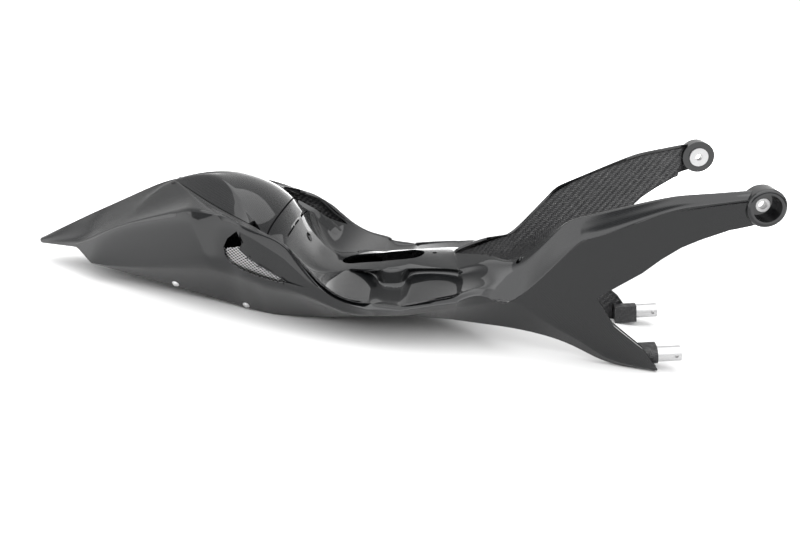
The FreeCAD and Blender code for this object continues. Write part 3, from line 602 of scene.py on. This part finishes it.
def addBosses(shell):  # upper arm ends, each with a cup for the bolt head and a bore for the bush
    boss = moulding["boss"]
    root = boss["y"] - boss["length"] / 2
    end = root + boss["length"]
    bm = bmesh.new()
    barrel(bm, boss["x"], root, boss["z"], boss["diameter"], boss["length"], segments=96)
    rim = [e for e in bm.edges if all(abs(v.co.y - end * mm) < 1e-6 for v in e.verts)]
    bmesh.ops.bevel(bm, geom=rim, offset=boss["round"] * mm, segments=5, profile=0.5, affect="EDGES",
                    material=-1)
    mirrorAll(bm)
    combine(shell, "UNION", bm)
    for start, diameter, length, segments in (
            (end - boss["cupDepth"], boss["cup"], boss["cupDepth"] + 1, 96),
            (root - 1, boss["bore"], boss["length"], 64)):
        bm = bmesh.new()
        barrel(bm, boss["x"], start, boss["z"], diameter, length, segments=segments)
        mirrorAll(bm)
        combine(shell, "DIFFERENCE", bm)


def makeMoulding(skin):
    shell = beddedShell(skin)
    blades = newObject("blades", shell.data.copy())
    sinkBlade(blades)
    cutOpenings(shell)
    addBosses(shell)
    both = bmesh.new()
    both.from_mesh(shell.data)
    both.from_mesh(blades.data)
    both.to_mesh(shell.data)
    both.free()
    bpy.data.objects.remove(blades)
    return polish(shell)


# cover on the hump: slide is the most that its edge moves, as a share of the next face
humpCover = {"wall": 1.6, "gap": 2.0, "slide": 0.6, "notchReach": 113}


def makeCover(skin):
    bm = bmesh.new()
    bm.from_mesh(skin.data)
    bmesh.ops.delete(bm, geom=[f for f in bm.faces if f.material_index == 0], context="FACES")
    moves = {}
    for vert in bm.verts:
        if vert.is_boundary:  # the edge slides inwards along the surface
            inner = [e.other_vert(vert).co for e in vert.link_edges if not e.is_boundary]
            inner = inner or [f.calc_center_median() for f in vert.link_faces]
            step = sum(inner, Vector()) / len(inner) - vert.co
            moves[vert] = step * min(humpCover["slide"], humpCover["gap"] * mm / step.length)
    for vert, step in moves.items():
        vert.co += step
    for face in bm.faces:
        face.material_index = 0
    cover = fromBmesh("humpCover", bm, gloss, raw)
    addModifier(cover, "SOLIDIFY", thickness=humpCover["wall"] * mm, offset=-1, material_offset=1)
    settle(cover)
    notches = bmesh.new()
    gap = moulding["sideGap"]
    reach = humpCover["notchReach"]
    outline = gap[:3] + [(gap[2][0], reach), (gap[-1][0], reach)] + gap[-1:]
    for side in (1, -1):
        topPrism(notches, outline, spans["sideGap"], side)
    combine(cover, "DIFFERENCE", notches)
    return polish(cover)


# the plane gives y in millimetres as a * x + b * z + c
grille = {"cell": (4.8, 3.4), "strand": 0.62, "thick": 0.5, "plane": (0.2073, -0.0645, 135.4),
          "outline": [(-162, 84), (-141, 90), (-135, 87), (-116, 78), (-80, 66), (-80, 57), (-100, 58),
                      (-136, 62), (-153, 69), (-162, 80)]}


def makeGrilles():  # fine diamond mesh behind the lower part of each scoop
    bm = bmesh.new()
    width, height = grille["cell"]
    edge = grille["outline"]
    half = grille["strand"] / 2

    def spot(x, z, deep, side):
        a, b, c = grille["plane"]
        return Vector((x, side * (a * x + b * z + c - deep), z)) * mm

    for way in (height / width, -height / width):
        offsets = [z - way * x for x, z in edge]
        for k in range(int(min(offsets) / height), int(max(offsets) / height) + 1):
            cuts = []
            for (x1, z1), (x2, z2) in zip(edge, edge[1:] + edge[:1]):
                d1, d2 = z1 - way * x1 - k * height, z2 - way * x2 - k * height
                if d1 * d2 < 0:
                    cuts.append(x1 + (x2 - x1) * d1 / (d1 - d2))
            cuts.sort()
            for x1, x2 in zip(cuts[::2], cuts[1::2]):
                for side in (1, -1):
                    ring = [(x, way * x + k * height + rise, deep)
                            for x in (x1, x2) for rise in (-half, half) for deep in (0, grille["thick"])]
                    corners = [bm.verts.new(spot(x, z, deep, side)) for x, z, deep in ring]
                    bmesh.ops.convex_hull(bm, input=corners)
    bmesh.ops.recalc_face_normals(bm, faces=bm.faces)
    return fromBmesh("ventGrilles", bm, meshMetal)


skin = smoothSkin()
print("skin faces:", len(skin.data.polygons))
shell = makeMoulding(skin)
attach(shell, "root")
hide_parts("upper_shell")
cover = makeCover(skin)
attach(cover, "root")
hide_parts("hump_cover")
bpy.data.objects.remove(skin)
grilles = makeGrilles()
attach(grilles, "root")
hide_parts("left_vent_grille", "right_vent_grille")
print("moulding faces:", len(shell.data.polygons), "cover faces:", len(cover.data.polygons))


# carried-over pieces take their finish here
finishes = {"inner_frame": raw, "undertray": flatGloss, "socket": raw, "spigot": aluminium, "bush": aluminium,
            "rivet": rivetMetal}
laminateSunk = 0.9 * mm  # inner_frame is drawn in by this, so that the outer skins cover it everywhere
for name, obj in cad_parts.items():
    for word, material in finishes.items():
        if name.endswith(word):
            obj.data.materials.clear()
            obj.data.materials.append(material)
    if name.endswith("inner_frame"):
        addModifier(obj, "DISPLACE", strength=-laminateSunk, mid_level=0)
print("carried-over pieces finished")


# studio: pale floor, soft light, camera at the photo's angle. The floor glows more, further from one point.
# The world is bright to the left and above in front, and behind it is dimmer above a white horizon.
studio = {"focal": 36.585, "camera": (84.5, -963.6, 395.5), "right": (0.9896, 0.0868, 0.115),
          "up": (-0.1371, 0.3222, 0.9367), "forward": (-0.0443, 0.9427, -0.3308),
          "front": (0.5, 3.1), "leftEdge": (-0.72, -0.62), "aboveEdge": (0.3, 0.5),
          "back": (1.1, 0.66), "horizon": (0.04, 0.22), "frontToBack": (-0.25, 0.3),
          "floor": 0.66, "floorSize": 14,
          "glow": (0.0, 1.2), "glowFrom": (0.25, -0.1, 0), "glowReach": (0.55, 1.1),
          "lamp": {"size": 3.0, "place": (0, 0.6, 2.4), "aim": (0, 0.6, 0), "power": 40}}


def makeFloor():
    bm = bmesh.new()
    bmesh.ops.create_grid(bm, x_segments=1, y_segments=1, size=studio["floorSize"])
    material, nodes, links, shader = newMaterial("paleFloor")
    setLevels(shader, {"Base Color": (*[studio["floor"]] * 3, 1), "Roughness": 0.9, "Specular IOR Level": 0.1,
                       "Emission Color": (1, 1, 1, 1)})
    away = node(nodes, "ShaderNodeVectorMath", operation="DISTANCE")
    links.new(objectPlace(nodes), away.inputs[0])
    away.inputs[1].default_value = studio["glowFrom"]
    glow = fade(nodes, links, away.outputs["Value"], studio["glowReach"], studio["glow"])
    links.new(glow, shader.inputs["Emission Strength"])
    floor = fromBmesh("floor", bm, material)


def makeWorld():
    world = bpy.data.worlds.new("studio")
    scene.world = world
    world.use_nodes = True
    nodes, links = world.node_tree.nodes, world.node_tree.links
    toward = node(nodes, "ShaderNodeTexCoord")
    x, y, z = splitVector(nodes, links, toward.outputs["Generated"])
    left = fade(nodes, links, x, studio["leftEdge"], (1, 0))
    above = fade(nodes, links, z, studio["aboveEdge"], (0, 1))
    front = fade(nodes, links, mathNode(nodes, links, "MAXIMUM", left, above), (0, 1), studio["front"])
    back = fade(nodes, links, z, studio["horizon"], studio["back"])
    background = nodes["Background"]
    links.new(fade(nodes, links, y, studio["frontToBack"], (front, back)), background.inputs["Strength"])
    background.inputs["Color"].default_value = (1, 1, 1, 1)


def makeLamp():
    look = studio["lamp"]
    data = bpy.data.lights.new("overhead", "AREA")
    data.size = look["size"]
    data.energy = look["power"]
    lamp = bpy.data.objects.new("overhead", data)
    lamp.location = look["place"]
    lamp.rotation_euler = (Vector(look["aim"]) - Vector(look["place"])).to_track_quat("-Z", "Y").to_euler()
    scene.collection.objects.link(lamp)


def makeCamera():
    camera = bpy.data.cameras.new("camera")
    camera.sensor_width = 36
    camera.lens = studio["focal"]
    eye = bpy.data.objects.new("camera", camera)
    turn = Matrix((studio["right"], studio["up"], [-v for v in studio["forward"]])).transposed()
    eye.matrix_world = Matrix.Translation(Vector(studio["camera"]) * mm) @ turn.to_4x4()
    scene.collection.objects.link(eye)
    scene.camera = eye


makeFloor()
makeWorld()
makeLamp()
makeCamera()
scene.view_settings.view_transform = "Standard"
print("studio ready")
